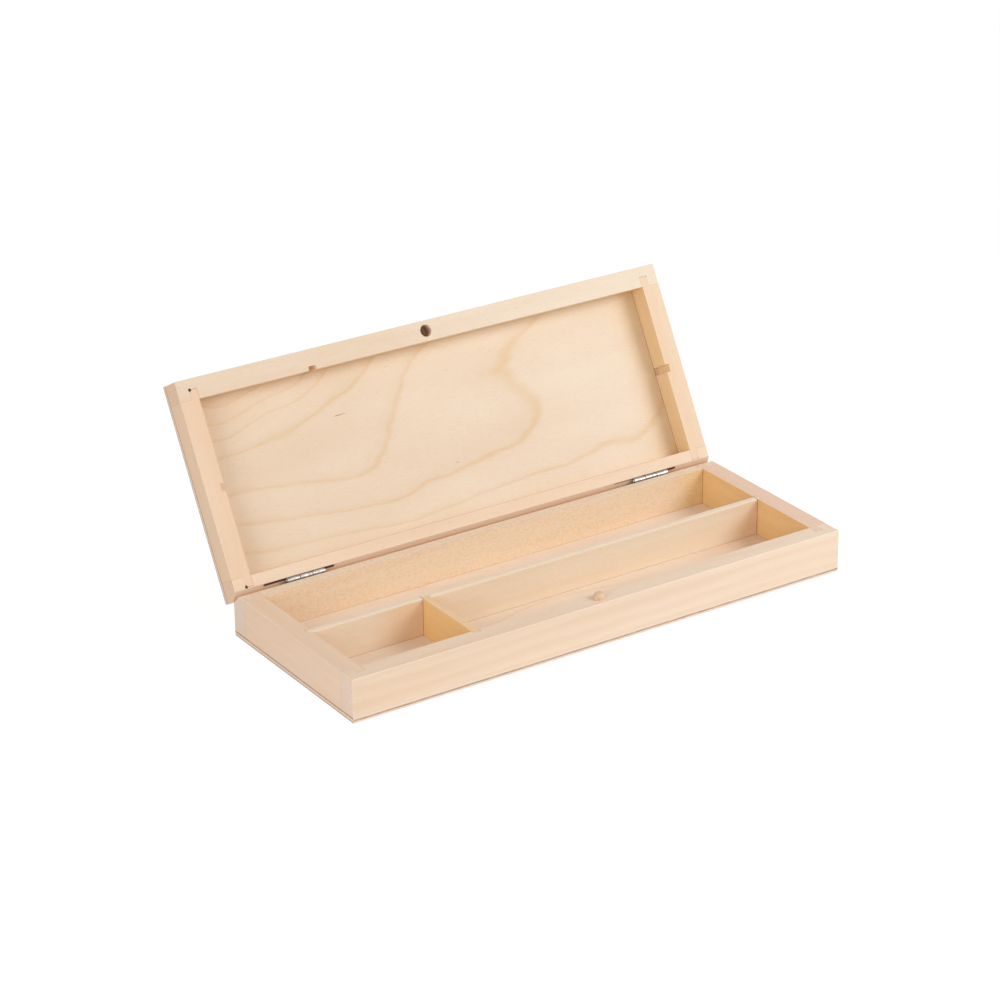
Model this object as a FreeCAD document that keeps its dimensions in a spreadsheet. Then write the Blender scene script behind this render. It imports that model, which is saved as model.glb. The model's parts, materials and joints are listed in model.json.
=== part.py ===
import FreeCAD, Part
import os
import Sketcher
from FreeCAD import Placement, Rotation, Vector

# A hinged wooden pencil box, open on its stop.
# It is made closed and then sawn apart: solid wood rails with barefaced tongues in dados,
# plywood glued on flush below and above, and dados that run from the base on into the lid.
# Model frame: X along the box, front at minus Y, origin in the middle of the underside.
# The lid is drawn closed round the hinge axis as its own origin, and then swung open.

# Driving sizes, in millimetres and degrees
SIZES = {
    "box_length": 290,
    "box_depth": 112,
    "base_rail_height": 20,
    "lid_rail_height": 11.5,
    "long_rail_thick": 10.8,
    "end_rail_thick": 10.5,
    "ply_thick": 3,
    "corner_ease": 0.4,
    "tongue_thick": 4,
    "tongue_length": 5.3,
    "tongue_end_gap": 0.12,
    "base_tongue_ease": 0.8,
    "lid_left_tongue_ease": 1.5,
    "lid_right_tongue_ease": 0.5,
    "divider_thick": 4,
    "long_divider_ease": 1,
    "short_divider_ease": 0.5,
    "dado_depth": 2.2,
    "dado_side_gap": 0.1,
    "dado_end_gap": 0.2,
    "cross_dado_depth": 1.3,
    "rear_tray_width": 43.2,
    "small_tray_length": 63,
    "peg_diameter": 6,
    "peg_stand": 3.3,
    "peg_tip_diameter": 3.4,
    "peg_tip_height": 1.7,
    "peg_sink": 8,
    "peg_left_of_centre": 0.6,
    "peg_gap": 0.18,
    "lid_hole_depth": 6,
    "drill_angle": 118,
    "rim_gap": 0.3,
    "hinge_inset": 3,
    "barrel_gap": 0.16,
    "stop_slack": 0.2,
    "hinge_spacing": 211,
    "pin_diameter": 1.2,
    "pin_gap": 0.05,
    "pin_head_diameter": 2,
    "pin_head_length": 0.6,
    "leaf_thick": 0.7,
    "knuckle_length": 6.9,
    "knuckle_gap": 0.35,
    "curl_seam": 0.12,
    "leaf_depth": 5.2,
    "leaf_arc_radius": 22,
    "rib_length": 12,
    "rib_height": 0.5,
    "rib_pitch": 1.7,
    "blade_radius": 32,
    "kerf_depth": 7,
    "kerf_width": 1.3,
    "kerf_shift": 3,
}

# Sizes that follow from the driving ones
HALF_LENGTH = "(Sizes.box_length / 2)"
HALF_DEPTH = "(Sizes.box_depth / 2)"
INNER_END = "(Sizes.box_length / 2 - Sizes.end_rail_thick)"
LONG_DIVIDER_BACK = "(Sizes.box_depth / 2 - Sizes.long_rail_thick - Sizes.rear_tray_width)"
LONG_DIVIDER_FRONT = "(" + LONG_DIVIDER_BACK + " - Sizes.divider_thick)"
SHORT_DIVIDER_LEFT = "(Sizes.small_tray_length - " + INNER_END + ")"
SHORT_DIVIDER_RIGHT = "(" + SHORT_DIVIDER_LEFT + " + Sizes.divider_thick)"
RIM = "(Sizes.ply_thick + Sizes.base_rail_height)"
AXIS_Y = "(Sizes.box_depth / 2 - Sizes.hinge_inset)"
BORE_RADIUS = "(Sizes.pin_diameter / 2 + Sizes.pin_gap)"
BARREL_RADIUS = "(" + BORE_RADIUS + " + Sizes.leaf_thick)"
BARREL_LENGTH = "(3 * Sizes.knuckle_length + 2 * Sizes.knuckle_gap)"
GROOVE_FACE = "(" + BARREL_RADIUS + " + Sizes.barrel_gap)"
GROOVE_LEG = "(Sizes.hinge_inset + sqrt(2) * " + GROOVE_FACE + ")"
OPEN_ANGLE = "(2 * atan(" + GROOVE_LEG + " / Sizes.hinge_inset) - Sizes.stop_slack * 1 deg)"

# The two halves of the box, each in the frame that it is drawn in
BASE = {
    "name": "base",
    "front": "(-Sizes.box_depth / 2)",
    "back": HALF_DEPTH,
    "to_model": "0",
    "low": "Sizes.ply_thick",
    "height": "Sizes.base_rail_height",
    "rim": RIM,
    "tongue_ease": {"left": "Sizes.base_tongue_ease", "right": "Sizes.base_tongue_ease"},
    "leaf_turn": "-45 deg",
}
LID = {
    "name": "lid",
    "front": "(Sizes.hinge_inset - Sizes.box_depth)",
    "back": "Sizes.hinge_inset",
    "to_model": AXIS_Y,
    "low": "Sizes.rim_gap",
    "height": "Sizes.lid_rail_height",
    "rim": "Sizes.rim_gap",
    "tongue_ease": {"left": "Sizes.lid_left_tongue_ease", "right": "Sizes.lid_right_tongue_ease"},
    "leaf_turn": "-135 deg",
}

doc = FreeCAD.newDocument("PencilBox")
sheet = doc.addObject("Spreadsheet::Sheet", "Sizes")
for row, (alias, value) in enumerate(SIZES.items(), start=1):
    sheet.set("A%d" % row, alias)
    sheet.set("B%d" % row, str(value))
    sheet.setAlias("B%d" % row, alias)
doc.recompute()

nodes = {}


def measure(expression):
    """The number that an expression of the sheet's sizes gives now."""
    result = sheet.evalExpression(expression)
    return float(getattr(result, "Value", result))


def bind(thing, **expressions):
    """Ties properties to the sheet; a double underscore stands for a dot."""
    for path, expression in expressions.items():
        thing.setExpression(path.replace("__", "."), expression)


def keep(node, thing):
    """Names a finished piece."""
    thing.Label = node
    nodes[node] = thing


def turn_about_x(thing, angle):
    """Turns a piece about the X axis, with its angle tied to the sheet."""
    thing.Placement = Placement(Vector(0, 0, 0), Rotation(Vector(1, 0, 0), 1))
    bind(thing, Placement__Rotation__Angle=angle)


def swing_open(thing):
    """Sets a piece of the closed lid on the hinge axis and turns it to the open stop."""
    turn_about_x(thing, "-" + OPEN_ANGLE)
    bind(thing, Placement__Base__y=AXIS_Y, Placement__Base__z=RIM)


def finish(half, node, thing):
    """Keeps a piece where its half of the box stands."""
    if half is LID:
        swing_open(thing)
    keep(node, thing)


def outline(body, name, role, corners, level="0"):
    """A closed outline on one of the body's planes, with every corner tied to the sheet."""
    sketch = body.newObject("Sketcher::SketchObject", name)
    plane = next(feature for feature in body.Origin.OriginFeatures if feature.Role == role)
    sketch.AttachmentSupport = [(plane, "")]
    sketch.MapMode = "FlatFace"
    bind(sketch, AttachmentOffset__Base__z=level)
    points = [Vector(measure(across), measure(up), 0) for across, up in corners]
    count = len(points)
    for index, point in enumerate(points):
        sketch.addGeometry(Part.LineSegment(point, points[(index + 1) % count]))
    for index in range(count):
        sketch.addConstraint(Sketcher.Constraint("Coincident", index, 2, (index + 1) % count, 1))
    for index, (across, up) in enumerate(corners):
        for kind, expression in (("DistanceX", across), ("DistanceY", up)):
            value = measure(expression)
            datum = sketch.addConstraint(Sketcher.Constraint(kind, -1, 1, index, 1, value))
            sketch.setExpression("Constraints[%d]" % datum, expression)
    return sketch


def rectangle(left, right, front, back):
    """The corners of an upright rectangle."""
    return [(left, front), (right, front), (right, back), (left, back)]


def pad(body, name, sketch, length):
    """Extrudes an outline along its plane's normal."""
    feature = body.newObject("PartDesign::Pad", name)
    feature.Profile = sketch
    bind(feature, Length=length)
    doc.recompute()


def cut_through(body, name, sketch):
    """Cuts an outline through the whole body, and makes sure that it took wood away."""
    before = body.Tip.Shape.Volume
    feature = body.newObject("PartDesign::Pocket", name)
    feature.Profile = sketch
    feature.Type = "ThroughAll"
    feature.SideType = "Symmetric"
    doc.recompute()
    if feature.Shape.Volume > before - 0.01:
        raise ValueError(body.Name + "." + name + " cuts nothing")


def ease(body, name, radius, wanted):
    """Rounds each edge of the body whose middle and direction pass the test."""
    tip = body.Tip
    edges = []
    for index, edge in enumerate(tip.Shape.Edges, start=1):
        if edge.Curve.TypeId != "Part::GeomLine":
            continue
        middle = edge.CenterOfMass
        run = edge.tangentAt(edge.FirstParameter)
        if wanted(middle, run):
            edges.append("Edge%d" % index)
    feature = body.newObject("PartDesign::Fillet", name)
    feature.Base = (tip, edges)
    bind(feature, Radius=radius)
    doc.recompute()


def near(one, other):
    """Whether two lengths are the same for picking an edge."""
    return abs(one - other) < 0.01


def new_body(name):
    """An empty body for a piece that sketches and cuts make."""
    return doc.addObject("PartDesign::Body", name)


def turn_profile(body, profile):
    """Turns half a profile about the body's upright axis."""
    sketch = outline(body, "Profile", "XZ_Plane", profile)
    turned = body.newObject("PartDesign::Revolution", "Turned")
    turned.Profile = sketch
    turned.ReferenceAxis = (sketch, ["V_Axis"])
    turned.Angle = 360
    doc.recompute()


# Bars, discs and strips round the hinge, whose leaf hangs straight down in its own frame
ALONG_X = Placement(Vector(0, 0, 0), Rotation(Vector(0, 1, 0), 90))
ALONG_Y = Placement(Vector(0, 0, 0), Rotation(Vector(1, 0, 0), -90))


def rod(name, radius, length, middle="0"):
    """A round bar on the hinge axis, with its middle at the given place."""
    bar = doc.addObject("Part::Cylinder", name)
    bar.Placement = ALONG_X
    bind(bar, Radius=radius, Height=length,
         Placement__Base__x=middle + " - (" + length + ") / 2")
    return bar


def disc(name, radius, thick, low, middle="0"):
    """A round plate in the leaf's plane, with its lowest point at the given level."""
    wheel = doc.addObject("Part::Cylinder", name)
    wheel.Placement = ALONG_Y
    bind(wheel, Radius=radius, Height=thick,
         Placement__Base__x=middle,
         Placement__Base__y="-(" + thick + ") / 2",
         Placement__Base__z=low + " + " + radius)
    return wheel


def plate(name, width, thick, low, high, middle="0", beside="0"):
    """A flat strip in the leaf's plane or beside it, between two levels."""
    strip = doc.addObject("Part::Box", name)
    bind(strip, Length=width, Width=thick, Height=high + " - (" + low + ")",
         Placement__Base__x=middle + " - (" + width + ") / 2",
         Placement__Base__y=beside + " - (" + thick + ") / 2",
         Placement__Base__z=low)
    return strip


def drill(body, name, across, along, level, diameter, depth, upward):
    """A blind drilled hole with a pointed floor, down from the level or upward from it."""
    before = body.Tip.Shape.Volume
    sketch = body.newObject("Sketcher::SketchObject", name + "Centre")
    plane = next(feature for feature in body.Origin.OriginFeatures if feature.Role == "XY_Plane")
    sketch.AttachmentSupport = [(plane, "")]
    sketch.MapMode = "FlatFace"
    bind(sketch, AttachmentOffset__Base__z=level)
    sketch.addGeometry(Part.Circle(Vector(measure(across), measure(along), 0), Vector(0, 0, 1), 1))
    ties = (("DistanceX", across), ("DistanceY", along))
    for kind, expression in ties:
        datum = sketch.addConstraint(Sketcher.Constraint(kind, -1, 1, 0, 3, measure(expression)))
        sketch.setExpression("Constraints[%d]" % datum, expression)
    datum = sketch.addConstraint(Sketcher.Constraint("Diameter", 0, measure(diameter)))
    sketch.setExpression("Constraints[%d]" % datum, diameter)
    doc.recompute()
    hole = body.newObject("PartDesign::Hole", name)
    hole.Profile = sketch
    doc.recompute()
    hole.DepthType = "Dimension"
    hole.DrillPoint = "Angled"
    hole.Reversed = upward
    bind(hole, Diameter=diameter, Depth=depth, DrillPointAngle="Sizes.drill_angle * 1 deg")
    doc.recompute()
    if hole.Shape.Volume > before - 1:
        raise ValueError(name + " drills nothing")


# Long rails run the full length, and their end grain shows at the ends of the box
def long_rail(half, side):
    """One front or back rail with the dados that take the end rails' tongues."""
    body = new_body("%s_%s_rail_body" % (half["name"], side))
    front = half["front"] if side == "front" else half["back"] + " - Sizes.long_rail_thick"
    back = half["front"] + " + Sizes.long_rail_thick" if side == "front" else half["back"]
    board = outline(body, "Board", "XY_Plane",
                    rectangle("-" + HALF_LENGTH, HALF_LENGTH, front, back), half["low"])
    pad(body, "Rail", board, half["height"])

    outside = measure(half[side])
    rim = measure(half["rim"])
    end = measure(HALF_LENGTH)

    def shows(middle, run):
        at_end = near(abs(middle.x), end)
        at_outside = near(middle.y, outside)
        if abs(run.z) > 0.5:
            return at_end and at_outside
        keeps_its_edge = side == "front" and at_outside
        return near(middle.z, rim) and (keeps_its_edge or at_end)

    ease(body, "EasedArris", "Sizes.corner_ease", shows)

    # The dado starts at the inner face and goes a tongue's length and a little into the rail
    reach = "(Sizes.tongue_length + Sizes.tongue_end_gap)"
    if side == "front":
        floor = back + " - " + reach
        mouth = back
    else:
        floor = front + " + " + reach
        mouth = front
    for hand, sign in (("Left", "-"), ("Right", "")):
        near_side = sign + INNER_END
        far_side = sign + "(" + INNER_END + " + Sizes.tongue_thick)"
        dado = outline(body, hand + "Dado", "XY_Plane",
                       rectangle(near_side, far_side, floor, mouth), half["low"])
        cut_through(body, hand + "DadoCut", dado)
    return body


def divider_dado_in_front(half, body):
    """The short divider's dado, which the saw carried on from the base into the lid."""
    mouth = half["front"] + " + Sizes.long_rail_thick"
    left = SHORT_DIVIDER_LEFT + " - Sizes.dado_side_gap"
    right = SHORT_DIVIDER_RIGHT + " + Sizes.dado_side_gap"
    dado = outline(body, "DividerDado", "XY_Plane",
                   rectangle(left, right, mouth + " - Sizes.dado_depth", mouth), half["low"])
    cut_through(body, "DividerDadoCut", dado)


# A chamfer on each half makes the V groove that the hinge barrels lie in
def hinge_chamfer(half, body):
    """Planes away the rear edge of the rim along the whole rail."""
    outer = half["back"]
    if half is BASE:
        level = RIM
        leg = GROOVE_LEG
        foot = level + " - " + leg
    else:
        level = "Sizes.rim_gap"
        leg = "(" + GROOVE_LEG + " - Sizes.rim_gap)"
        foot = level + " + " + leg
    corner = [(outer + " - " + leg, level), (outer, level), (outer, foot)]
    wedge = outline(body, "Chamfer", "YZ_Plane", corner)
    cut_through(body, "ChamferCut", wedge)


def saw_kerfs(half, body):
    """Runs a small circular blade square into the chamfer, once for each hinge.

    The blades are drawn in the hinge's own frame, with the leaf going straight down from
    the barrel, and are then turned to the chamfer's slope.
    """
    blades = []
    for hand, sign in (("left", "-"), ("right", "")):
        blades.append(disc("%s_%s_blade" % (half["name"], hand), "Sizes.blade_radius",
                           "Sizes.kerf_width", "-(" + GROOVE_FACE + " + Sizes.kerf_depth)",
                           sign + "Sizes.hinge_spacing / 2 - Sizes.kerf_shift"))
    pair = doc.addObject("Part::MultiFuse", half["name"] + "_blades")
    pair.Shapes = blades
    turn_about_x(pair, half["leaf_turn"])
    if half is BASE:
        bind(pair, Placement__Base__y=AXIS_Y, Placement__Base__z=RIM)
    sawn = doc.addObject("Part::Cut", half["name"] + "_back_rail_sawn")
    sawn.Base = body
    sawn.Tool = pair
    return sawn


# End rails stand between the long ones, with a barefaced tongue into each
def end_rail(half, hand):
    """One end rail, drawn as a plan: the tongues lie flush with its inner face."""
    sign = "-" if hand == "left" else ""
    body = new_body("%s_%s_rail_body" % (half["name"], hand))
    inner = sign + INNER_END
    outer = sign + HALF_LENGTH
    tongue = sign + "(" + INNER_END + " + Sizes.tongue_thick)"
    leg = half["tongue_ease"][hand]
    eased = sign + "(" + INNER_END + " + Sizes.tongue_thick - " + leg + ")"
    front = half["front"] + " + Sizes.long_rail_thick"
    back = half["back"] + " - Sizes.long_rail_thick"
    front_end = front + " - Sizes.tongue_length"
    back_end = back + " + Sizes.tongue_length"
    plan = [
        (inner, front_end),
        (eased, front_end),
        (tongue, front_end + " + " + leg),
        (tongue, front),
        (outer, front),
        (outer, back),
        (tongue, back),
        (tongue, back_end + " - " + leg),
        (eased, back_end),
        (inner, back_end),
    ]
    board = outline(body, "Plan", "XY_Plane", plan, half["low"])
    pad(body, "Rail", board, half["height"])

    end = measure(outer)
    rim = measure(half["rim"])

    def outer_rim(middle, run):
        return near(middle.x, end) and near(middle.z, rim)

    ease(body, "EasedArris", "Sizes.corner_ease", outer_rim)

    # The long divider's dado is square to the inner face
    shift = " - " + half["to_model"]
    floor = sign + "(" + INNER_END + " + Sizes.dado_depth)"
    dado = outline(body, "DividerDado", "XY_Plane",
                   rectangle(inner, floor,
                             LONG_DIVIDER_FRONT + " - Sizes.dado_side_gap" + shift,
                             LONG_DIVIDER_BACK + " + Sizes.dado_side_gap" + shift), half["low"])
    cut_through(body, "DividerDadoCut", dado)
    return body


# Plywood covers each half flush with the rails
def panel(half, node):
    """A plywood sheet with its four outer arrises and corners just eased."""
    body = new_body(node + "_body")
    level = "0" if half is BASE else "Sizes.rim_gap + Sizes.lid_rail_height"
    sheet_plan = outline(body, "Plan", "XY_Plane",
                         rectangle("-" + HALF_LENGTH, HALF_LENGTH, half["front"], half["back"]), level)
    pad(body, "Ply", sheet_plan, "Sizes.ply_thick")
    face = 0 if half is BASE else measure(level + " + Sizes.ply_thick")

    def shows(middle, run):
        return abs(run.z) > 0.5 or near(middle.z, face)

    ease(body, "EasedArris", "Sizes.corner_ease", shows)
    finish(half, node, body)


# Dividers slide down into their dados and end flush with the rim
def divider(node, left, right, front, back, runs, radius):
    """A thin board on edge, with both top arrises eased along the way that it runs."""
    body = new_body(node + "_body")
    board = outline(body, "Board", "XY_Plane", rectangle(left, right, front, back),
                    "Sizes.ply_thick")
    pad(body, "Divider", board, "Sizes.base_rail_height")
    rim = measure(RIM)
    ease(body, "EasedArris", radius,
         lambda middle, run: near(middle.z, rim) and near(abs(run.dot(runs)), 1))
    keep(node, body)
    return body


def dividers():
    """The long divider with a dado for the short one, and the short one between two dados."""
    reach = "(" + INNER_END + " + Sizes.dado_depth - Sizes.dado_end_gap)"
    body = divider("long_divider", "-" + reach, reach, LONG_DIVIDER_FRONT, LONG_DIVIDER_BACK,
                   Vector(1, 0, 0), "Sizes.long_divider_ease")
    floor = LONG_DIVIDER_FRONT + " + Sizes.cross_dado_depth"
    dado = outline(body, "CrossDado", "XY_Plane",
                   rectangle(SHORT_DIVIDER_LEFT + " - Sizes.dado_side_gap",
                             SHORT_DIVIDER_RIGHT + " + Sizes.dado_side_gap",
                             LONG_DIVIDER_FRONT, floor), "Sizes.ply_thick")
    cut_through(body, "CrossDadoCut", dado)
    front = BASE["front"] + " + Sizes.long_rail_thick - Sizes.dado_depth + Sizes.dado_end_gap"
    divider("short_divider", SHORT_DIVIDER_LEFT, SHORT_DIVIDER_RIGHT,
            front, floor + " - Sizes.dado_end_gap", Vector(0, 1, 0), "Sizes.short_divider_ease")


# A dowel in the front rail finds a hole in the lid and keeps the lid in line
PEG_Y = "(Sizes.long_rail_thick / 2 - Sizes.box_depth / 2)"


def closure_peg():
    """The dowel, turned from its profile: a straight shank and a cone-shaped tip."""
    body = new_body("closure_peg_body")
    foot = RIM + " - Sizes.peg_sink"
    top = RIM + " + Sizes.peg_stand"
    profile = [
        ("0", foot),
        ("Sizes.peg_diameter / 2", foot),
        ("Sizes.peg_diameter / 2", top + " - Sizes.peg_tip_height"),
        ("Sizes.peg_tip_diameter / 2", top),
        ("0", top),
    ]
    turn_profile(body, profile)
    bind(body, Placement__Base__x="-Sizes.peg_left_of_centre", Placement__Base__y=PEG_Y)
    keep("closure_peg", body)


# Slot hinges: each leaf is rolled from strip round the pin and pressed into its kerf.
# They are drawn with the pin along X and the leaf straight down, then turned into place.
def hinge_leaf(node, knuckles, turn):
    """A rolled leaf: its own curls, their necks, and a half-moon blade with grip ribs.

    knuckles lists the middles of the leaf's curls along the barrel.
    """
    shoulder = "-(" + BARREL_RADIUS + " + Sizes.knuckle_gap)"
    tip = "-(" + GROOVE_FACE + " + Sizes.leaf_depth)"

    # The half moon follows the round floor of the kerf
    blade = doc.addObject("Part::Common", node + "_blade")
    blade.Base = plate(node + "_strip", BARREL_LENGTH, "Sizes.leaf_thick", tip, shoulder)
    blade.Tool = disc(node + "_moon", "Sizes.leaf_arc_radius", "Sizes.leaf_thick", tip)
    solids = [blade]

    # Ribs across the blade fill the kerf's width and hold the leaf in the wood
    for index in (1, 2):
        middle = "-(%s + %d * Sizes.rib_pitch)" % (GROOVE_FACE, index)
        solids.append(plate("%s_rib_%d" % (node, index), "Sizes.rib_length", "Sizes.kerf_width",
                            middle + " - Sizes.rib_height / 2", middle + " + Sizes.rib_height / 2"))

    # Each curl closes on its own neck with a fine seam
    openings = [rod(node + "_bore", BORE_RADIUS, "2 * " + BARREL_LENGTH)]
    for index, middle in enumerate(knuckles):
        solids.append(rod("%s_curl_%d" % (node, index), BARREL_RADIUS, "Sizes.knuckle_length",
                          middle))
        solids.append(plate("%s_neck_%d" % (node, index), "Sizes.knuckle_length",
                            "Sizes.leaf_thick", shoulder + " - Sizes.knuckle_gap",
                            "-" + BORE_RADIUS, middle))
        openings.append(plate("%s_seam_%d" % (node, index), "Sizes.knuckle_length",
                              "Sizes.curl_seam", "-" + BARREL_RADIUS, "0", middle,
                              "(Sizes.leaf_thick + Sizes.curl_seam) / 2"))
    rolled = doc.addObject("Part::MultiFuse", node + "_rolled")
    rolled.Shapes = solids
    opening = doc.addObject("Part::MultiFuse", node + "_opening")
    opening.Shapes = openings
    leaf = doc.addObject("Part::Cut", node + "_leaf")
    leaf.Base = rolled
    leaf.Tool = opening
    turn_about_x(leaf, turn)
    return leaf


def hinge_pin(node):
    """The pin, turned from its profile, with a low dome peened on each end."""
    body = new_body(node + "_body")
    end = "(" + BARREL_LENGTH + " / 2 + Sizes.pin_gap)"
    tip = "(" + end + " + Sizes.pin_head_length)"
    brow = "(" + tip + " - Sizes.pin_head_length / 2)"
    upper_half = [
        ("Sizes.pin_diameter / 2", end),
        ("Sizes.pin_head_diameter / 2", end),
        ("Sizes.pin_head_diameter / 2", brow),
        ("Sizes.pin_diameter / 2", tip),
        ("0", tip),
    ]
    lower_half = [(radius, "-" + level) for radius, level in reversed(upper_half)]
    turn_profile(body, lower_half + upper_half)
    body.Placement = ALONG_X
    return body


def seat_hinge(node, piece, sign):
    """Sets a hinge piece on the axis, at its place along the box."""
    bind(piece, Placement__Base__x=sign + "Sizes.hinge_spacing / 2",
         Placement__Base__y=AXIS_Y, Placement__Base__z=RIM)
    keep(node, piece)


# Build the base
front_rail = long_rail(BASE, "front")
divider_dado_in_front(BASE, front_rail)
drill(front_rail, "PegSocket", "-Sizes.peg_left_of_centre", PEG_Y, RIM,
      "Sizes.peg_diameter", "Sizes.peg_sink", False)
finish(BASE, "base_front_rail", front_rail)

back_rail = long_rail(BASE, "back")
hinge_chamfer(BASE, back_rail)
finish(BASE, "base_back_rail", saw_kerfs(BASE, back_rail))

for hand in ("left", "right"):
    finish(BASE, "base_%s_rail" % hand, end_rail(BASE, hand))
panel(BASE, "base_bottom_panel")
dividers()
closure_peg()

# Build the lid
front_rail = long_rail(LID, "front")
divider_dado_in_front(LID, front_rail)
drill(front_rail, "PegHole", "-Sizes.peg_left_of_centre", PEG_Y + " - " + LID["to_model"], LID["rim"],
      "(Sizes.peg_diameter + 2 * Sizes.peg_gap)", "Sizes.lid_hole_depth", True)
finish(LID, "lid_front_rail", front_rail)

back_rail = long_rail(LID, "back")
hinge_chamfer(LID, back_rail)
finish(LID, "lid_back_rail", saw_kerfs(LID, back_rail))

for hand in ("left", "right"):
    finish(LID, "lid_%s_rail" % hand, end_rail(LID, hand))
panel(LID, "lid_panel")

# Build the hinges: the base leaf has the two outer curls, the lid leaf the middle one
KNUCKLE_PITCH = "(Sizes.knuckle_length + Sizes.knuckle_gap)"
for hand, sign in (("left", "-"), ("right", "")):
    node = hand + "_hinge_base_leaf"
    seat_hinge(node, hinge_leaf(node, ["-" + KNUCKLE_PITCH, KNUCKLE_PITCH], BASE["leaf_turn"]), sign)
    node = hand + "_hinge_lid_leaf"
    seat_hinge(node, hinge_leaf(node, ["0"], LID["leaf_turn"] + " - " + OPEN_ANGLE), sign)
    node = hand + "_hinge_pin"
    seat_hinge(node, hinge_pin(node), sign)

doc.recompute()
for thing in doc.Objects:
    if "Invalid" in thing.State or "Error" in thing.State:
        raise ValueError(thing.Name + " failed: " + ", ".join(thing.State))
for node, thing in nodes.items():
    if thing.Shape.isNull() or not thing.Shape.isValid():
        raise ValueError(node + " has no valid shape")

os.makedirs("parts", exist_ok=True)
for node, thing in nodes.items():
    thing.Shape.exportStep("parts/" + node + ".step")
    box = thing.Shape.BoundBox
    print("%-24s %d solid  %8.1f mm3  x %7.2f %7.2f  y %7.2f %7.2f  z %7.2f %7.2f" % (
        node, len(thing.Shape.Solids), thing.Shape.Volume,
        box.XMin, box.XMax, box.YMin, box.YMax, box.ZMin, box.ZMax))
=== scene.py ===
import json
import math

import bpy
from mathutils import Matrix, Vector

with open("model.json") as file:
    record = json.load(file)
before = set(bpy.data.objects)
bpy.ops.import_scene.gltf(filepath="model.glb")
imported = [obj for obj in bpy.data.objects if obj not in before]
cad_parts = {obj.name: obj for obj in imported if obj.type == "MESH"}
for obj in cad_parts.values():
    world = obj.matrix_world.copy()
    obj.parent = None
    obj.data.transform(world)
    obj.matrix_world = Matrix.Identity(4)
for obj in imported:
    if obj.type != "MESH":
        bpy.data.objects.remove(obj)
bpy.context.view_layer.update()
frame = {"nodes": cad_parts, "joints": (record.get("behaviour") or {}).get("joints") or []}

# A wooden pencil box, bare wood, standing open on its stop.
# The CAD pieces keep their shapes. Here they get their woods, their steel and the light.
# Patterns are written in millimetres, in the frame of the board that each piece is cut from.


# Colour: every hex value is an sRGB colour as seen on the box
def paint(code):
    """The linear colour of an sRGB hex value: the sRGB curve undone for each channel."""
    channels = [int(code[i:i + 2], 16) / 255 for i in (1, 3, 5)]
    linear = [c / 12.92 if c <= 0.04045 else ((c + 0.055) / 1.055) ** 2.4 for c in channels]
    return (*linear, 1.0)


def add(tree, kind, inputs=None, **settings):
    """Adds a node with its settings, and its input values or links."""
    node = tree.nodes.new("ShaderNode" + kind)
    for name, value in settings.items():
        setattr(node, name, value)
    for key, value in (inputs or {}).items():
        if isinstance(value, bpy.types.NodeSocket):
            tree.links.new(value, node.inputs[key])
        else:
            node.inputs[key].default_value = value
    return node


# The lid's boards were sawn from the closed box, so their grain is worked out lid shut
HINGE = frame["joints"][0]
HINGE_LINE = Vector(HINGE["pos_m"])
SHUT = Matrix.Rotation(math.radians(HINGE["range_deg"][1]), 3, Vector(HINGE["axis"]))
AS_IT_STANDS = Matrix.Identity(3)
GRAIN = {
    "along": AS_IT_STANDS,
    "across": Matrix.Rotation(math.radians(-90), 3, "Z"),
    "upright": Matrix.Rotation(math.radians(90), 3, "Y"),
}


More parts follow.
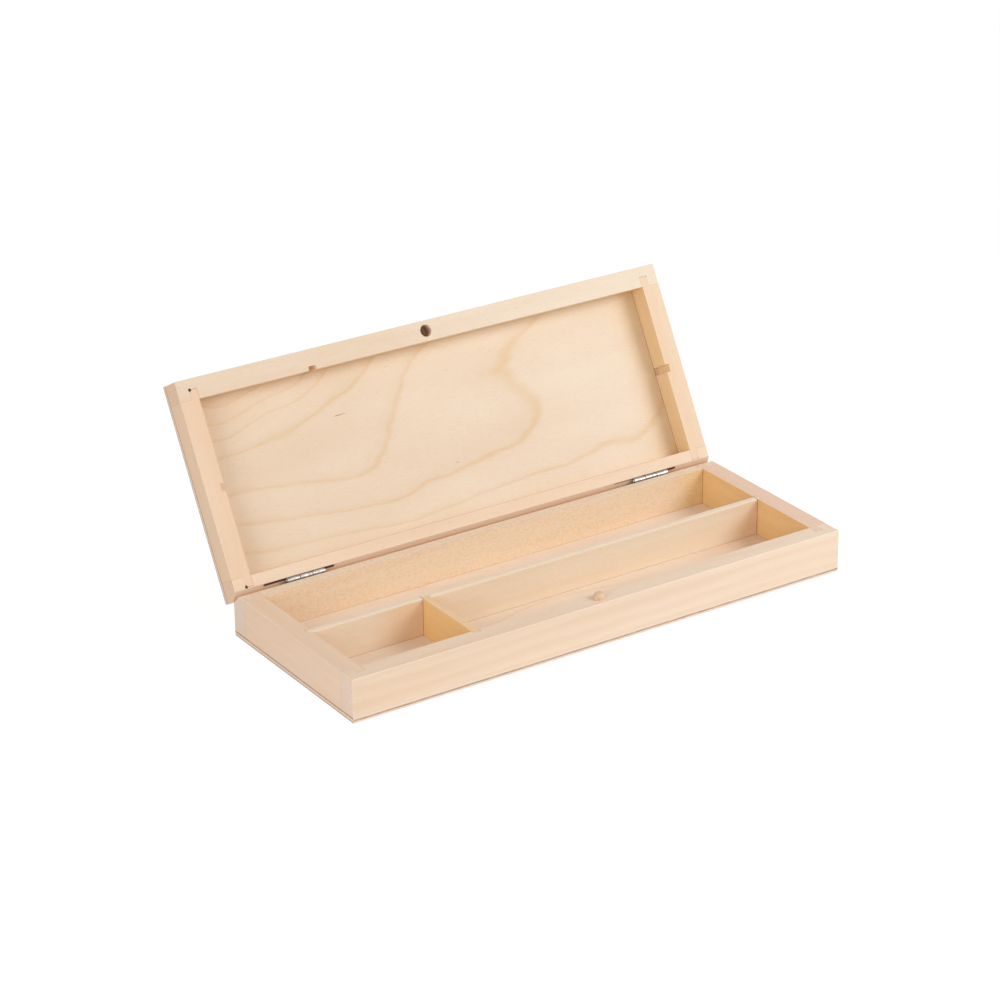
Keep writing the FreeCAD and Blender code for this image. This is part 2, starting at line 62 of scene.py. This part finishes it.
class Board:
    """The frame of the board that a piece is cut from, and the start of its material.

    A place p in metres becomes 1000 G (R (p - h) + h) - c in millimetres: R shuts the lid
    about the hinge line h, G turns the grain to X, and c is where the board's origin lies.
    """

    def __init__(self, name, node, grain, origin):
        self.material = bpy.data.materials.new(name)
        self.material.use_nodes = True
        self.tree = self.material.node_tree
        self.tree.nodes.clear()
        shut = SHUT if node.startswith("lid") or "lid_leaf" in node else AS_IT_STANDS
        turn = GRAIN[grain] @ shut
        shift = 1000 * (GRAIN[grain] @ (HINGE_LINE - shut @ HINGE_LINE))
        shift -= GRAIN[grain] @ Vector(origin)
        self.node = node
        self.grain = GRAIN[grain]
        self.origin = Vector(origin)
        angles = turn.to_euler("XYZ")
        here = add(self.tree, "TexCoord")
        self.place = add(self.tree, "Mapping", {
            "Vector": here.outputs["Object"], "Location": shift, "Rotation": angles,
            "Scale": (1000, 1000, 1000)}).outputs["Vector"]
        self.facing = add(self.tree, "Mapping", {
            "Vector": here.outputs["Normal"], "Rotation": angles},
            vector_type="VECTOR").outputs["Vector"]

    def math(self, operation, *values):
        """One step of arithmetic on numbers."""
        node = add(self.tree, "Math", dict(enumerate(values)), operation=operation)
        return node.outputs["Value"]

    def vectors(self, operation, *values, result="Vector"):
        """One step of arithmetic on places."""
        node = add(self.tree, "VectorMath", dict(enumerate(values)), operation=operation)
        return node.outputs[result]

    def parts(self, vector):
        """The three numbers of a place."""
        return add(self.tree, "SeparateXYZ", {"Vector": vector}).outputs

    def step(self, value, low, high, to_low=0.0, to_high=1.0):
        """A smooth step of a number from one range to another."""
        node = add(self.tree, "MapRange", {
            "Value": value, "From Min": low, "From Max": high,
            "To Min": to_low, "To Max": to_high}, interpolation_type="SMOOTHSTEP")
        return node.outputs["Result"]

    def beside(self, value, line, reach):
        """1 on a line and 0 further from it than the reach, in millimetres."""
        return self.step(self.math("ABSOLUTE", self.math("SUBTRACT", value, line)),
                         reach, 0.3 * reach)

    def most(self, *amounts):
        """The greatest of several amounts."""
        result = amounts[0]
        for amount in amounts[1:]:
            result = self.math("MAXIMUM", result, amount)
        return result

    def cloud(self, cell, detail=2.0, roughness=0.5, shift=(0, 0, 0), result="Fac"):
        """Soft noise whose lumps are about the size of the cell, in millimetres."""
        stretched = add(self.tree, "Mapping", {
            "Vector": self.place, "Location": shift, "Scale": [1 / side for side in cell]})
        return add(self.tree, "TexNoise", {
            "Vector": stretched.outputs["Vector"], "Scale": 1.0, "Detail": detail,
            "Roughness": roughness}).outputs[result]

    def over(self, below, above, amount, **settings):
        """Lays one colour over another by an amount from 0 to 1."""
        values = {0: amount}
        for key, colour in ((6, below), (7, above)):
            values[key] = paint(colour) if isinstance(colour, str) else colour
        return add(self.tree, "Mix", values, data_type="RGBA", **settings).outputs[2]

    def stain(self, colour, tint, amount):
        """Multiplies a colour by a tint, which keeps the grain showing through."""
        return self.over(colour, tint, amount, blend_type="MULTIPLY")

    def shut_box(self):
        """The place in the shut box's own frame, in millimetres, without the grain's turn."""
        back = self.grain.inverted()
        turned = add(self.tree, "Mapping", {
            "Vector": self.place, "Location": self.origin,
            "Rotation": back.to_euler("XYZ")}).outputs["Vector"]
        return self.parts(turned)

    def finish(self, colour, roughness, height, depth, **constants):
        """The shader: depth is the height of the bumps in millimetres."""
        bump = add(self.tree, "Bump", {
            "Height": height, "Strength": 1.0, "Distance": depth / 1000})
        inputs = {"Base Color": colour, "Roughness": roughness,
                  "Normal": bump.outputs["Normal"], **constants}
        shader = add(self.tree, "BsdfPrincipled", inputs)
        add(self.tree, "OutputMaterial", {"Surface": shader.outputs["BSDF"]})
        slots = frame["nodes"][self.node].data.materials
        slots.clear()
        slots.append(self.material)


# The shut box's joint lines, in millimetres
INNER_END = 134.5
TONGUE_SIDE = 138.5
INNER_LONG = 45.2
TONGUE_END = 50.5
HINGES_AT = (-108.5, 102.5)


# Limewood rails and dividers
def limewood(node, grain, heart, ring=7, early="#F8E1C9", late="#E8C39E", ends="#EFD7C4",
             contrast=0.5, mottle=0.0, left_shade=0.0, warm_shade=0.35):
    """Planed and sanded limewood: pale, even and fine, with faint growth rings.

    It gives the eye a nearly plain cream board, with soft bands from the rings, hair-fine
    fibres along the grain, short ray flecks, and pinker, mottled end grain. The rings are
    the distance from the tree's heart, wandering slowly along the board, folded every ring.
    """
    board = Board("limewood_" + node, node, grain, heart)
    wander = board.cloud((130, 26, 26), 2.0, 0.45, result="Color")
    ringed = board.vectors("MULTIPLY_ADD", wander, (0, 16, 16), board.place)
    radius = board.vectors("LENGTH", board.vectors("MULTIPLY", ringed, (0, 1, 1)),
                           result="Value")
    fold = board.math("FRACT", board.math("DIVIDE", radius, ring))
    rings = board.math("SUBTRACT", board.step(fold, 0.1, 0.75), board.step(fold, 0.75, 1.0))
    # Fibres are drawn 0.45 mm wide: the real ones are too fine to show
    fibres = board.cloud((14, 0.45, 0.45), 3.0, 0.6)
    drift = board.cloud((90, 9, 9), 2.0, 0.5, shift=(7, 3, 1))
    flecks = board.cloud((2.4, 0.5, 0.28), 1.0, 0.5, shift=(3, 9, 4))
    lumps = board.cloud((1.9, 1.1, 1.1), 2.0, 0.65, shift=(2, 8, 5))
    facing = board.parts(board.vectors("ABSOLUTE", board.facing))
    spot = board.shut_box()
    along = board.math("ABSOLUTE", spot["X"])
    across = board.math("ABSOLUTE", spot["Y"])

    depth = board.math("MULTIPLY_ADD", rings, 0.22 * contrast, 0.233 - 0.45 * 0.22 * contrast)
    depth = board.math("MULTIPLY_ADD", board.math("SUBTRACT", fibres, 0.5), 0.4, depth)
    depth = board.math("MULTIPLY_ADD", board.math("SUBTRACT", drift, 0.5), 0.5, depth)
    # Painted shade: the board darkens towards its left end, away from the light
    depth = board.math("MULTIPLY_ADD", spot["X"], -left_shade / 145, depth)
    if mottle:
        depth = board.math("MULTIPLY_ADD", board.math("SUBTRACT", lumps, 0.5), mottle, depth)
    colour = board.over(early, late, board.math("MAXIMUM", depth, 0.0))
    colour = board.over(colour, "#C79F74", board.step(flecks, 0.62, 0.8, 0.0, 0.3))
    pores = board.cloud((60, 0.6, 0.6), 2.0, 0.7, shift=(1, 1, 1))
    block = board.over(ends, "#C9A488", board.step(pores, 0.4, 0.8, 0.0, 0.5))
    colour = board.over(colour, block, board.step(facing["X"], 0.6, 0.95, 0.0, 0.85))
    # Painted highlight along the eased arrises: paler on the rails, and tinted warmer on the
    # dividers to tone down their sheen
    painted_edge_highlight = board.step(board.most(facing["X"], facing["Y"], facing["Z"]), 0.99, 0.9)
    if "rail" in node:
        colour = board.over(colour, "#FBEDDB", board.math("MULTIPLY", painted_edge_highlight, 0.5))
    else:
        colour = board.stain(colour, "#FFF9F4", painted_edge_highlight)

    # Painted shade: the faces in the trays are stained a warm yellow for the warm shade they lie
    # in, most in the corners at the right end
    walls = board.step(facing["Y"], 0.75, 0.95)
    if "rail" in node:
        out, plane = (across, INNER_LONG) if grain == "along" else (along, INNER_END)
        walls = board.math("MULTIPLY", walls, board.step(out, plane + 3, plane + 2.5))
    corner_shade = board.step(spot["X"], INNER_END - 26, INNER_END)
    if node == "long_divider":
        # The divider's painted shade is browner than yellow: at the right end, and left of the
        # short divider where its shadow falls
        corner_shade = board.most(corner_shade, board.math(
            "MULTIPLY", board.step(spot["X"], -106, -80, 0.0, 1.3),
            board.step(spot["X"], -66, -68)))
        colour = board.stain(colour, "#FBEDE0", board.math(
            "MULTIPLY", board.math("MULTIPLY", corner_shade, 0.72), walls))
    painted_warm_shade = board.math("MULTIPLY_ADD", corner_shade, 0.7 if "long" in grain and (
        "rail" in node) else 0.0, warm_shade)
    colour = board.stain(colour, "#FDF4C6", board.math("MULTIPLY", painted_warm_shade, walls))

    # Joints show as hair lines of glue and dust
    if "rail" in node:
        if grain == "along":
            # The inner corner's dark joint line is drawn stronger at the right end, which is
            # painted shade
            corner = board.math("MULTIPLY", board.beside(along, INNER_END, 0.45), board.math(
                "MULTIPLY", board.step(across, INNER_LONG + 0.6, INNER_LONG + 0.1),
                board.step(spot["X"], -1, 1, 1.0, 2.2)))
            shoulder = board.math("MULTIPLY", board.beside(across, INNER_LONG, 0.3),
                                  board.step(along, TONGUE_SIDE - 0.1, TONGUE_SIDE + 0.1))
            cheek = board.math("MULTIPLY", board.beside(along, TONGUE_SIDE, 0.22), board.math(
                "MULTIPLY", board.step(across, INNER_LONG - 0.2, INNER_LONG),
                board.step(across, TONGUE_END + 0.3, TONGUE_END)))
            tongue = board.math("MULTIPLY", board.beside(along, INNER_END, 0.5), board.math(
                "MULTIPLY", board.step(across, INNER_LONG, INNER_LONG + 1.5),
                board.step(across, TONGUE_END + 0.6, TONGUE_END + 0.3)))
            lines = board.most(corner, board.math("MULTIPLY", shoulder, 0.5), cheek, tongue)
        else:
            lines = board.math("MULTIPLY", board.beside(across, INNER_LONG, 0.25), board.step(
                along, TONGUE_SIDE - 0.3, TONGUE_SIDE, 0.0, 0.5))
        colour = board.over(colour, "#A67C5A", board.math("MULTIPLY", lines, 0.4))
    # Painted shade: dark lines where the divider meets the right rail and the short divider
    if node == "long_divider":
        lines = board.most(board.beside(spot["X"], INNER_END, 0.55),
                           board.beside(spot["X"], -71.5, 0.45))
        colour = board.over(colour, "#8A5E3C", board.math("MULTIPLY", lines, 0.6))

    if "back_rail" in node:
        # Painted shade in the sawn groove between the rails: its faces are stained browner with
        # depth
        back = board.math("SUBTRACT", spot["Y"], 1000 * HINGE_LINE.y)
        up = board.math("SUBTRACT", spot["Z"], 1000 * HINGE_LINE.z)
        deep = board.math("ADD", board.math("MULTIPLY", back, back),
                          board.math("MULTIPLY", up, up))
        groove_shade = board.math("MULTIPLY", board.step(deep, 37, 35), board.step(
            board.math("MULTIPLY", facing["Y"], facing["Z"]), 0.3, 0.45))
        colour = board.stain(colour, "#EFD9C4", board.math(
            "MULTIPLY", groove_shade, board.step(deep, 3, 9, 0.35, 1.0)))
        # The hinge kerfs' walls are painted dark brown: scorch from the blade, and painted shade
        # inside the slots
        side = "ADD" if node.startswith("lid") else "SUBTRACT"
        off = board.math("ABSOLUTE", board.math("MULTIPLY", board.math(side, back, up), 0.7071))
        reach = [board.step(board.math("ABSOLUTE", board.math("SUBTRACT", spot["X"], place)),
                            20.6, 20.0) for place in HINGES_AT]
        fresh = board.step(board.math("ABSOLUTE", board.math("SUBTRACT", spot["X"], 84)), 13, 11)
        scorch_and_shade = board.math("MULTIPLY", board.step(off, 0.85, 0.62), board.math(
            "MULTIPLY", board.most(*reach), board.step(deep, 90, 80)))
        scorch_and_shade = board.math("MULTIPLY", scorch_and_shade, board.math("SUBTRACT", 1.0, fresh))
        colour = board.over(colour, "#6E2E0C", board.math("MULTIPLY", scorch_and_shade, 0.96))

    if node in ("lid_front_rail", "lid_back_rail"):
        flat = add(board.tree, "CombineXYZ", {0: spot["X"], 1: across}).outputs[0]
        if node == "lid_front_rail":
            # Painted shade in the peg hole: its walls are painted browner towards its floor
            middle = board.vectors("DISTANCE", flat, (-0.6, 50.6, 0), result="Value")
            hole_shade = board.math("MULTIPLY", board.step(middle, 3.8, 3.5),
                                 board.step(spot["Z"], 24, 27, 0.1, 0.65))
            colour = board.over(colour, "#945A30", board.math(
                "MULTIPLY", hole_shade, board.step(facing["Z"], 0.97, 0.9)))
        # The hollow at the end of the left tongue is painted dark brown
        to_tongue_hollow = board.vectors("DISTANCE", flat, (-138.3, 50.4, 0), result="Value")
        colour = board.over(colour, "#4A2E1C", board.math(
            "MULTIPLY", board.step(to_tongue_hollow, 0.95, 0.7), board.step(facing["Z"], 0.7, 0.9)))
    roughness = board.math("MULTIPLY_ADD", fibres, 0.16, 0.52)
    board.finish(colour, roughness, fibres, 0.03, IOR=1.5)


# Birch plywood for the bottom and the lid
# The lid veneer's figure: round hills and hollows (x, y, radius, height) on a slope
LID_FIGURE = (
    (-147, 34, 39, 0.56), (-120, -45, 35, -1.87), (-86, 46, 65, 1.22), (-85, -60, 42, -2.33),
    (-77, 27, 63, -1.5), (-54, 60, 45, 0.28), (-2, -24, 70, 0.97), (8, 19, 96, -1.91),
    (9, 60, 65, 0.7), (20, -41, 71, 1.01), (97, -60, 99, 1.53), (107, 49, 104, -1.29),
    (125, 35, 91, -0.9))


def plain_figure(board, spot):
    """A slow hilly field of noise, long in the way of the grain, and other on each side."""
    # The shift puts the inner side of a 3 mm sheet at the noise's own level
    return board.math("MULTIPLY", board.cloud((190, 60, 4), 3.0, 0.5, shift=(0, 0, -0.7425)),
                      7.0)


def lid_figure(board, spot):
    """A hilly field over the sheet: a slope plus a smooth round hill at each place."""
    field = board.math("MULTIPLY_ADD", spot["Y"], 0.052, 5.17)
    field = board.math("MULTIPLY_ADD", spot["X"], 0.011, field)
    flat = board.vectors("MULTIPLY", board.place, (1, 1, 0))
    for x, y, radius, height in LID_FIGURE:
        away = board.vectors("DISTANCE", flat, (x, y, 0), result="Value")
        field = board.math("ADD", field, board.step(away, radius, 0, 0.0, height))
    ripple = board.cloud((26, 9, 20), 2.0, 0.5)
    return board.math("MULTIPLY_ADD", board.math("SUBTRACT", ripple, 0.5), 0.22, field)


def birch_plywood(node, outer, figure, early="#F8E5D2", late="#E5C5A2", flaws=(), left_shade=0.0,
                  contours=1.0):
    """Three-ply birch, sanded: rotary-cut face veneers over a crosswise core.

    It gives the eye pale cream sheets with wide, wavy golden contours where the knife
    crossed the growth rings, short fine flecks, and an edge of light, brown and light
    lines. A contour is where a hilly field crosses a whole number: the figure's on the
    inner side of the sheet, a plain one on its outer side.
    """
    board = Board("birch_plywood_" + node, node, "along", outer)
    spot = board.parts(board.place)
    facing = board.parts(board.vectors("ABSOLUTE", board.facing))
    level = board.math("ABSOLUTE", spot["Z"])
    inside = board.step(level, 2.2, 2.6)
    outer_field = plain_figure(board, spot)
    field = board.math("MULTIPLY_ADD", inside, board.math(
        "SUBTRACT", figure(board, spot), outer_field), outer_field)
    fold = board.math("FRACT", board.math("ADD", field, 0.5))
    line = board.step(board.math("ABSOLUTE", board.math("SUBTRACT", fold, 0.5)), 0.075, 0.0)
    glow = board.math("SUBTRACT", board.step(fold, 0.2, 0.5), board.step(fold, 0.5, 0.62))
    drift = board.cloud((70, 24, 60), 2.0, 0.5, shift=(4, 4, 4))
    fibres = board.cloud((7, 0.5, 0.5), 3.0, 0.6)
    flecks = board.cloud((2.2, 0.4, 0.4), 1.0, 0.5, shift=(9, 2, 6))
    depth = board.math("MULTIPLY_ADD", glow, 0.13, 0.2)
    depth = board.math("MULTIPLY_ADD", board.math("SUBTRACT", drift, 0.5), 0.6, depth)
    depth = board.math("MULTIPLY_ADD", board.math("SUBTRACT", fibres, 0.5), 0.5, depth)
    # Painted shade: the sheet darkens towards its left end, away from the light
    depth = board.math("MULTIPLY_ADD", spot["X"], -left_shade / 145, depth)
    face = board.over(early, late, board.math("MAXIMUM", depth, 0.0))
    # The line's own strength comes and goes along the ring
    golden = board.step(drift, 0.3, 0.7, 0.25 * contours, 0.55 * contours)
    face = board.over(face, "#E4BE88", board.math("MULTIPLY", line, golden))
    face = board.over(face, "#C79E70", board.step(flecks, 0.62, 0.8, 0.0, 0.3))
    for x, y, length in flaws:
        away = board.vectors("LENGTH", board.vectors(
            "MULTIPLY", board.vectors("SUBTRACT", board.place, (x, y, 0)),
            (2 / length, 3.0, 0)), result="Value")
        face = board.over(face, "#94724C", board.math("MULTIPLY", inside, board.math(
            "MULTIPLY", board.step(away, 1.0, 0.5), board.step(fibres, 0.3, 0.55))))

    # Painted shade: the lid's sheet is stained warmer beside its rails, most by the right rail, and
    # on both sheets a line of glue and dust runs along the rails
    along = board.math("ABSOLUTE", spot["X"])
    across = board.math("ABSOLUTE", spot["Y"])
    if node == "lid_panel":
        face = board.stain(face, "#FAEED9", board.math("MULTIPLY", inside, board.most(
            board.step(spot["X"], INNER_END - 22, INNER_END),
            board.step(spot["X"], 18 - INNER_END, -INNER_END, 0.0, 0.35),
            board.step(spot["Y"], 6 - INNER_LONG, -INNER_LONG, 0.0, 0.5))))
    lines = board.most(board.beside(along, INNER_END, 0.4), board.math(
        "MULTIPLY", board.beside(across, INNER_LONG, 0.4), board.step(spot["Y"], -1, 1, 0.3, 0.8)))
    if node == "base_bottom_panel":
        # The bottom is stained slightly darker towards the right end of the front trays
        face = board.stain(face, "#F8EFE8", board.math(
            "MULTIPLY", board.step(spot["X"], 60, 125), board.step(spot["Y"], 1, -1)))
        lines = board.most(lines, board.beside(across, 2, 0.4), board.math(
            "MULTIPLY", board.beside(spot["X"], -69.5, 2.4), board.step(spot["Y"], 0, -2)))
    lines = board.math("MULTIPLY", lines, inside)
    face = board.over(face, "#9A6E48", board.math("MULTIPLY", lines, 0.7))

    # On the edges the core shows its end grain at front and back, the faces at the ends
    core = board.math("MULTIPLY", board.step(level, 0.95, 1.1), board.step(level, 2.05, 1.9))
    long_edge = board.step(facing["Y"], 0.4, 0.7)
    grainy = board.over("#D6BAA4", "#B08C74", board.step(fibres, 0.3, 0.7))
    end_on = board.math("ABSOLUTE", board.math("SUBTRACT", core, board.math(
        "SUBTRACT", 1.0, long_edge)))
    edge = board.over("#F2DECB", grainy, end_on)
    colour = board.over(edge, face, board.step(facing["Z"], 0.5, 0.8))
    roughness = board.math("MULTIPLY_ADD", fibres, 0.14, 0.52)
    board.finish(colour, roughness, fibres, 0.025, IOR=1.5)


# The closure peg
def beech_dowel(node, origin):
    """Beech dowel, turned and sanded: pinkish tan with short dark flecks."""
    board = Board("beech_dowel", node, "upright", origin)
    fibres = board.cloud((5, 0.3, 0.3), 3.0, 0.6)
    flecks = board.cloud((1.2, 0.25, 0.25), 1.0, 0.5)
    colour = board.over("#F0D3B2", "#D6AE86", board.step(fibres, 0.35, 0.7))
    colour = board.over(colour, "#A97B55", board.step(flecks, 0.6, 0.75, 0.0, 0.5))
    board.finish(colour, 0.5, fibres, 0.02, IOR=1.5)


# Hinges
def nickel_plated_steel(node):
    """Nickel-plated strip steel, rolled: bright, with faint lines along the roll and some haze."""
    board = Board("nickel_plated_steel_" + node, node, "along", (0, 0, 0))
    lines = board.cloud((6, 0.12, 0.12), 2.0, 0.6)
    haze = board.cloud((2.5, 1.2, 1.2), 2.0, 0.5)
    colour = board.over("#C6C1BC", "#99938D", board.step(haze, 0.35, 0.7))
    roughness = board.math("MULTIPLY_ADD", haze, 0.2, 0.27)
    board.finish(colour, roughness, lines, 0.008, Metallic=1.0)


# The amounts of warm stain in the calls below are painted shade on the faces inside the trays, and
# the left fades are painted shade towards each board's left end
limewood("base_front_rail", "along", (0, -14, -92), contrast=0.8, left_shade=0.15)
limewood("base_back_rail", "along", (40, 96, 74), ring=6, contrast=0.4, mottle=1.6,
         early="#F5E0C8", warm_shade=0.15)
limewood("base_left_rail", "across", (-92, 20, -68), early="#F5D9BF", late="#E6BD97")
limewood("base_right_rail", "across", (80, 0, 90), early="#F7D7C0", late="#E7BC99", warm_shade=1.0)
limewood("lid_front_rail", "along", (90, -30, 122), early="#EFDCC5", late="#DFBE9B",
         ends="#EAC5A5", left_shade=0.27)
limewood("lid_back_rail", "along", (-70, 90, 120), early="#F4DCC2", late="#E4BD97",
         ends="#EAC7A8")
limewood("lid_left_rail", "across", (-170, 60, 90), early="#F0D1B3", late="#E1B58D")
limewood("lid_right_rail", "across", (190, -50, -60), early="#F2D8BB", late="#E3BD94",
         warm_shade=0.5)
limewood("long_divider", "along", (120, 40, -80), early="#F6E7D2", late="#E7CAA9",
         contrast=0.3, mottle=0.4, warm_shade=0.05)
# The short divider's deeper ochre tone is painted shade, for its face turned from the light
limewood("short_divider", "across", (-30, 40, 90), early="#F8D6AC", late="#E9BA87",
         warm_shade=0.7)
birch_plywood("base_bottom_panel", (0, 0, 0), plain_figure, contours=0.45)
birch_plywood("lid_panel", (0, 0, 37.8), lid_figure, early="#F0DDC6", late="#DDBB95",
              flaws=((-55.7, -20.6, 9), (2.5, 18.2, 3)), left_shade=0.18)
beech_dowel("closure_peg", (0, 0, 0))
for side in ("left", "right"):
    for piece in ("base_leaf", "lid_leaf", "pin"):
        nickel_plated_steel(side + "_hinge_" + piece)


# Studio
def softbox(name, place, aim, width, power):
    """A square soft light at a place in metres, turned to its aim."""
    lamp = bpy.data.lights.new(name, "AREA")
    lamp.shape = "SQUARE"
    lamp.size = width
    lamp.energy = power
    holder = bpy.data.objects.new(name, lamp)
    holder.location = place
    holder.rotation_euler = (Vector(aim) - Vector(place)).to_track_quat("-Z", "Y").to_euler()
    bpy.context.scene.collection.objects.link(holder)


softbox("key", (0.99, -0.88, 0.9), (0, 0, 0.05), 0.8, 11.8)
softbox("left_fill", (-1.36, -0.64, 0.56), (0, 0, 0.05), 0.8, 7.6)


def seen_or_mirrored(tree):
    """1 for rays that show the background: straight, mirrored, or through glass."""
    rays = add(tree, "LightPath")
    either = add(tree, "Math", {0: rays.outputs["Is Camera Ray"], 1: rays.outputs["Is Glossy Ray"]},
                 operation="MAXIMUM")
    return add(tree, "Math", {0: either.outputs["Value"],
                              1: rays.outputs["Is Transmission Ray"]},
               operation="MAXIMUM").outputs["Value"]


world = bpy.data.worlds.new("studio")
bpy.context.scene.world = world
world.use_nodes = True
world.node_tree.nodes.clear()
shows = seen_or_mirrored(world.node_tree)
soft = add(world.node_tree, "Background", {"Color": (1, 1, 1, 1), "Strength": 0.47})
white = add(world.node_tree, "Background", {"Color": (1, 1, 1, 1), "Strength": 1.0})
both = add(world.node_tree, "MixShader", {0: shows, 1: soft.outputs[0], 2: white.outputs[0]})
add(world.node_tree, "OutputWorld", {"Surface": both.outputs[0]})

sweep_mesh = bpy.data.meshes.new("white_table")
sweep_mesh.from_pydata([(-4, -4, 0), (4, -4, 0), (4, 4, 0), (-4, 4, 0)], [], [(0, 1, 2, 3)])
sweep_mesh.transform(Matrix.Translation((0, 0, -0.0001)))
sweep = bpy.data.objects.new("white_table", sweep_mesh)
bpy.context.scene.collection.objects.link(sweep)
table = bpy.data.materials.new("white_card")
table.use_nodes = True
table.node_tree.nodes.clear()
shows = seen_or_mirrored(table.node_tree)
card = add(table.node_tree, "BsdfDiffuse", {"Color": paint("#F2F1EF")})
glow = add(table.node_tree, "Emission", {"Color": (1, 1, 1, 1), "Strength": 1.06})
amount = add(table.node_tree, "Math", {0: shows, 1: 0.9}, operation="MULTIPLY")
mixed = add(table.node_tree, "MixShader", {
    0: amount.outputs[0], 1: card.outputs[0], 2: glow.outputs[0]})
add(table.node_tree, "OutputMaterial", {"Surface": mixed.outputs[0]})
sweep.data.materials.append(table)

# Camera: where the photographer stood, worked out from the box's corners
camera = bpy.data.cameras.new("camera")
camera.lens = 119.825
camera.sensor_width = 36
camera.clip_start = 0.05
camera.clip_end = 20
eye = bpy.data.objects.new("camera", camera)
right = Vector((0.832198, -0.554407, -0.008917))
down = Vector((-0.23631, -0.340075, -0.910223))
ahead = Vector((0.501602, 0.759593, -0.414021))
pose = Matrix((right, -down, -ahead)).transposed().to_4x4()
pose.translation = Vector((-0.844483, -1.24154, 0.739724))
eye.matrix_world = pose
bpy.context.scene.collection.objects.link(eye)
bpy.context.scene.camera = eye

settings = bpy.context.scene.view_settings
settings.view_transform = "Standard"
